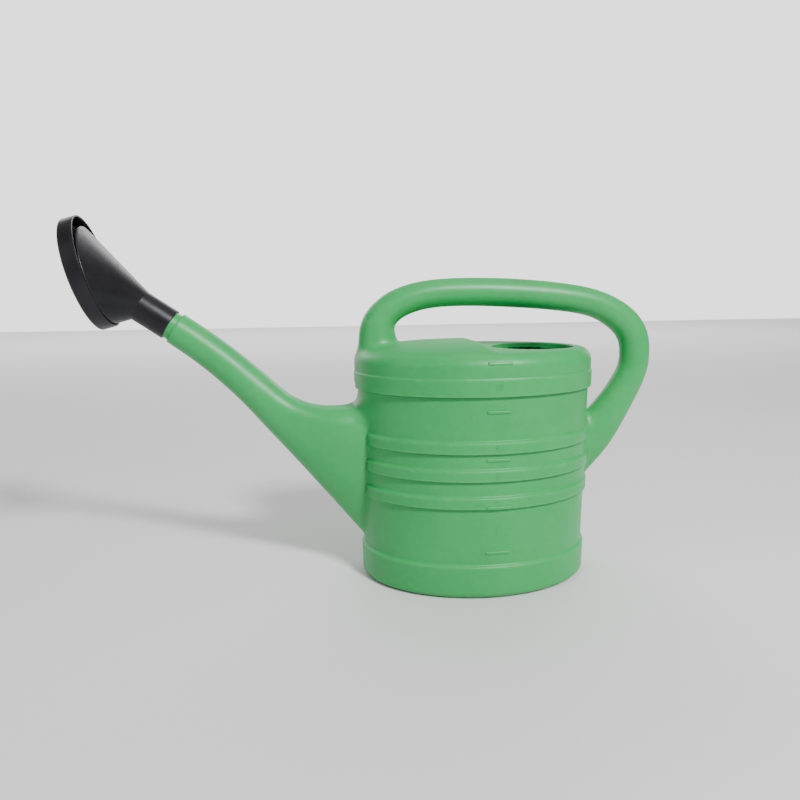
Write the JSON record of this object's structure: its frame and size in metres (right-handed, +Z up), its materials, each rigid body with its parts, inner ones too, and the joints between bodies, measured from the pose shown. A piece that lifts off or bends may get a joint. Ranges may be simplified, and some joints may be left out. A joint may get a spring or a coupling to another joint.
{
  "type": "watering can",
  "caption": "Oval plastic garden watering can with ribbed tank, round filling opening, hollow loop handle, long flared spout and a turning rose with a pull-off perforated face.",
  "frame": {"origin": "middle of the tank's flat underside", "axes": "+Z up; the spout points to -X and the handle's rear leg is on +X; Y runs across the can"},
  "size_m": [0.6397, 0.2098, 0.3991],
  "materials": {
    "can_plastic": "satin green blow moulded polyethylene",
    "rose_plastic": "satin black injection moulded plastic"
  },
  "bodies": {
    "can": {"tank_wall": "can_plastic", "tank_floor": "can_plastic", "shoulder": "can_plastic", "spout_root": "can_plastic", "spout_neck": "can_plastic", "spout_end": "can_plastic", "spigot": "can_plastic", "handle": "can_plastic"},
    "rose": {"rose_housing": "rose_plastic"},
    "rose_cap": {"rose_face": "rose_plastic"}
  },
  "joints": [
    {"name": "rose_turn", "type": "hinge", "parent": "can", "child": "rose", "pos_m": [-0.34308, 0, 0.29589], "axis": [-0.8241, 0, 0.5664], "continuous": true},
    {"name": "rose_face_pull", "type": "slide", "parent": "rose", "child": "rose_cap", "axis": [-0.9659, 0, -0.2588], "range_m": [0, 0.06]}
  ]
}
